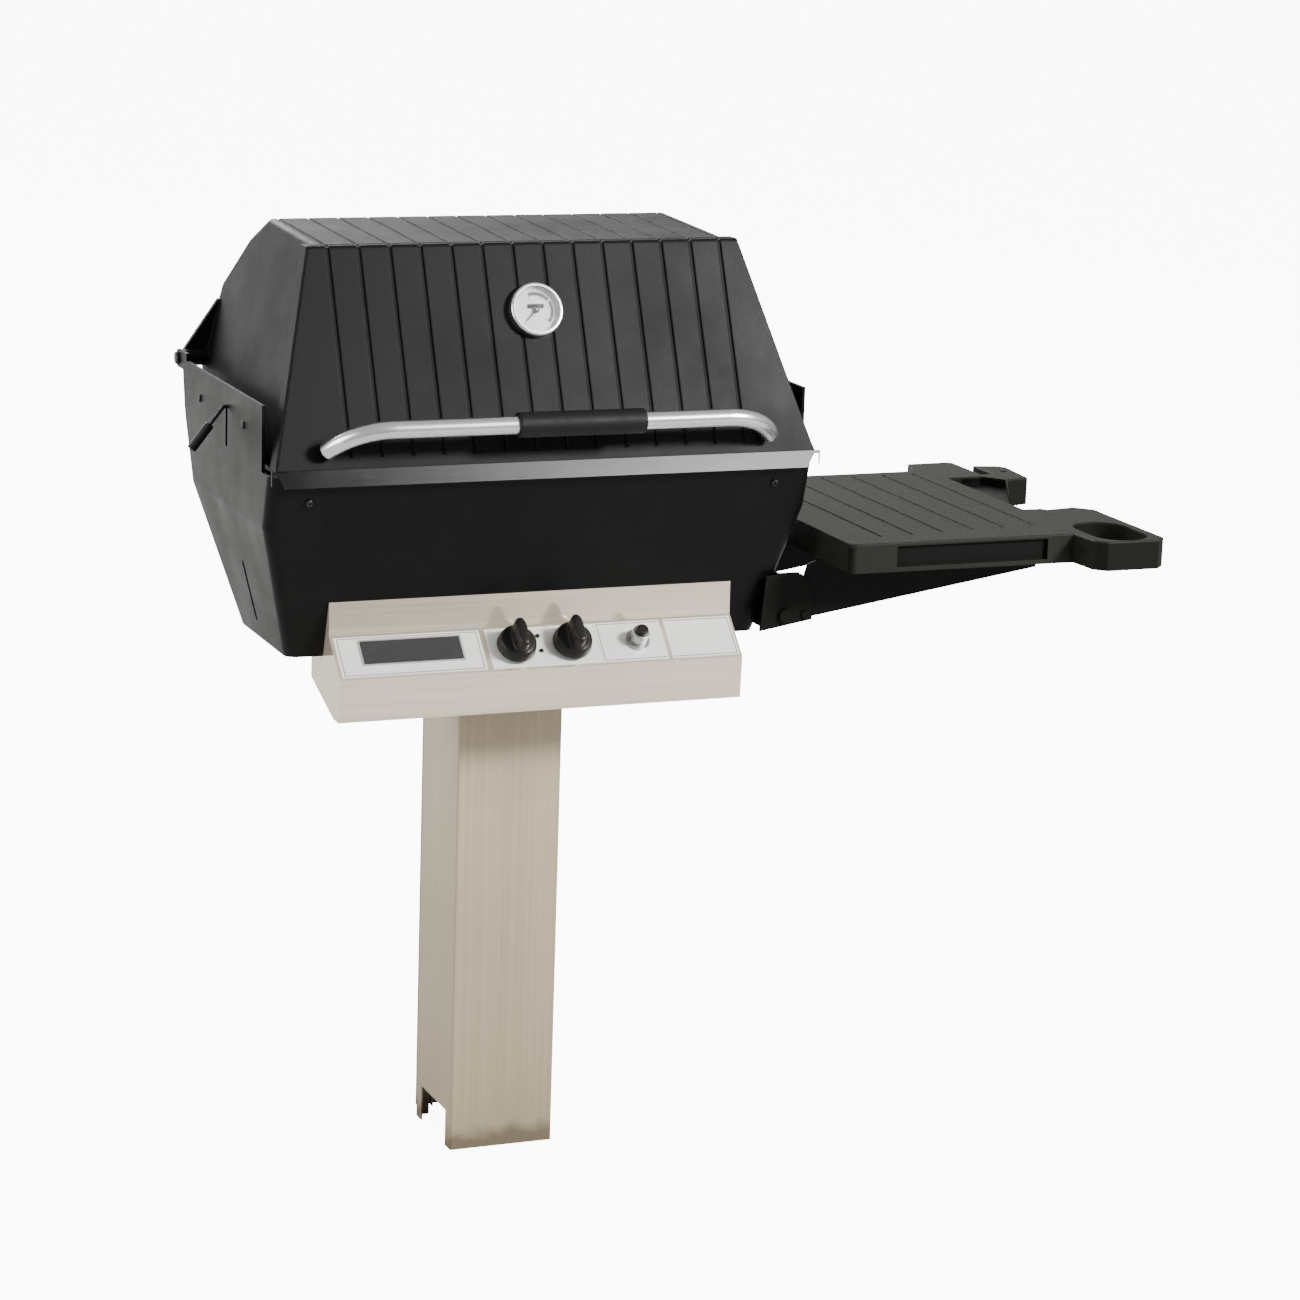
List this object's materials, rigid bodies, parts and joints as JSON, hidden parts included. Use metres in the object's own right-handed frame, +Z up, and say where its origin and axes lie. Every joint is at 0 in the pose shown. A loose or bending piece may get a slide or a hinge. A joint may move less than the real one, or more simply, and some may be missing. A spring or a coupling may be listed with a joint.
{
  "type": "gas barbecue grill on a post pedestal",
  "caption": "Gas barbecue with a hinged cast lid and a thermometer, on a square post set in the ground, with a two-knob panel and a drop-down side shelf.",
  "frame": {"origin": "on the post's axis at ground level", "axes": "+Z up, -Y the front with the control panel, +X the side with the shelf"},
  "size_m": [1.2366, 0.558, 1.7509],
  "materials": {
    "post_steel": "brushed",
    "zinc_steel": "zinc plated",
    "cast_dark": "satin black coat",
    "cast_hood": "charcoal coat",
    "bright_steel": "polished",
    "stainless": "brushed",
    "black_plastic": "matte",
    "dial_face": "printed",
    "pointer_red": "painted",
    "clear_glass": "clear",
    "label_silver": "satin foil",
    "plate_dark": "anodised",
    "pipe_steel": "plated",
    "brass": "machined",
    "burner_steel": "heat tinted",
    "ceramic": "fired ceramic",
    "porcelain": "enamelled",
    "rack_wire": "plated",
    "shelf_resin": "textured",
    "arm_paint": "satin",
    "white_ceramic": "glazed"
  },
  "bodies": {
    "stand": {"post_shell": "post_steel", "post_rear_cover": "post_steel", "head_bracket": "zinc_steel", "small_screws": "stainless", "sleeve_bolts": "stainless", "box_bolts": "zinc_steel", "firebox": "cast_dark", "hinge_pins": "stainless", "hinge_clips": "stainless", "control_panel": "stainless", "panel_label": "label_silver", "nameplate": "plate_dark", "label_screws": "arm_paint", "gas_manifold": "pipe_steel", "manifold_brackets": "zinc_steel", "gas_valves": "brass", "igniter_barrel": "bright_steel", "igniter_nut": "zinc_steel", "burner": "burner_steel", "venturis": "zinc_steel", "spark_electrode": "white_ceramic", "briquet_rack": "burner_steel", "ceramic_briquets": "ceramic", "cooking_grids": "porcelain", "grid_clips": "stainless", "rack_uprights": "stainless", "rack_bolts": "stainless", "grease_rails": "zinc_steel", "shutter_guides": "zinc_steel", "shutter_rivets": "stainless", "shelf_brackets": "arm_paint", "shelf_pivots": "zinc_steel", "shelf_stops": "zinc_steel"},
    "lid": {"hood": "cast_hood", "hood_front_trim": "bright_steel", "handle_tube": "bright_steel", "handle_feet": "cast_dark", "handle_bolts": "zinc_steel", "handle_grip": "black_plastic", "thermo_case": "bright_steel", "thermo_dial": "dial_face", "thermo_glass": "clear_glass", "thermo_nut": "brass"},
    "pointer": {"thermo_needle": "pointer_red"},
    "rack": {"warming_rack": "rack_wire"},
    "legs": {"rack_legs": "stainless"},
    "plug_left": {"valve_plug_left": "brass"},
    "knob_left": {"valve_stem_left": "brass", "knob_left": "black_plastic"},
    "plug_right": {"valve_plug_right": "brass"},
    "knob_right": {"valve_stem_right": "brass", "knob_right": "black_plastic"},
    "button": {"igniter_button": "black_plastic"},
    "shelf": {"shelf_board": "shelf_resin", "shelf_arms": "arm_paint", "shelf_screws": "zinc_steel"},
    "shutter": {"shutter_plate": "zinc_steel", "shutter_lever": "stainless", "shutter_grip": "black_plastic"},
    "cup": {"grease_cup": "zinc_steel"}
  },
  "joints": [
    {"name": "lid_hinge", "type": "hinge", "parent": "stand", "child": "lid", "pos_m": [0, 0.232, 1.001], "axis": [-1, 0, 0], "range_deg": [0, 95]},
    {"name": "rack_hang", "type": "hinge", "parent": "lid", "child": "rack", "pos_m": [0, 0.06, 1.08], "axis": [-1, 0, 0], "range_deg": [-95, 0]},
    {"name": "rack_leg_swing", "type": "hinge", "parent": "stand", "child": "legs", "pos_m": [0, 0.102, 0.991], "axis": [-1, 0, 0], "range_deg": [0, 95]},
    {"name": "pointer_turn", "type": "hinge", "parent": "lid", "child": "pointer", "pos_m": [0, -0.11878, 1.104], "axis": [0, 0.9171, -0.3987], "range_deg": [0, 270]},
    {"name": "knob_left_turn", "type": "hinge", "parent": "stand", "child": "plug_left", "pos_m": [-0.032, -0.16475, 0.6905], "axis": [0, -0.6954, 0.7186], "range_deg": [0, 225]},
    {"name": "knob_left_push", "type": "slide", "parent": "plug_left", "child": "knob_left", "axis": [0, 0.6954, -0.7186], "range_m": [0, 0.003], "stiffness_N_per_m": 900, "springref_m": -0.002},
    {"name": "knob_right_turn", "type": "hinge", "parent": "stand", "child": "plug_right", "pos_m": [0.042, -0.16475, 0.6905], "axis": [0, -0.6954, 0.7186], "range_deg": [0, 225]},
    {"name": "knob_right_push", "type": "slide", "parent": "plug_right", "child": "knob_right", "axis": [0, 0.6954, -0.7186], "range_m": [0, 0.003], "stiffness_N_per_m": 900, "springref_m": -0.002},
    {"name": "igniter_push", "type": "slide", "parent": "stand", "child": "button", "axis": [0, 0.6954, -0.7186], "range_m": [0, 0.006], "stiffness_N_per_m": 600, "springref_m": -0.002},
    {"name": "shelf_drop", "type": "hinge", "parent": "stand", "child": "shelf", "pos_m": [0.34, 0, 0.708], "axis": [0, 1, 0], "range_deg": [0, 90]},
    {"name": "shutter_slide", "type": "slide", "parent": "stand", "child": "shutter", "axis": [0, 0, -1], "range_m": [0, 0.044]},
    {"name": "grease_cup_slide", "type": "slide", "parent": "stand", "child": "cup", "axis": [0, 1, 0], "range_m": [0, 0.095]}
  ],
  "couplings": [
    {"joint": "rack_hang", "follows": "lid_hinge", "ratio": -1},
    {"joint": "rack_leg_swing", "follows": "lid_hinge", "ratio": 1}
  ]
}
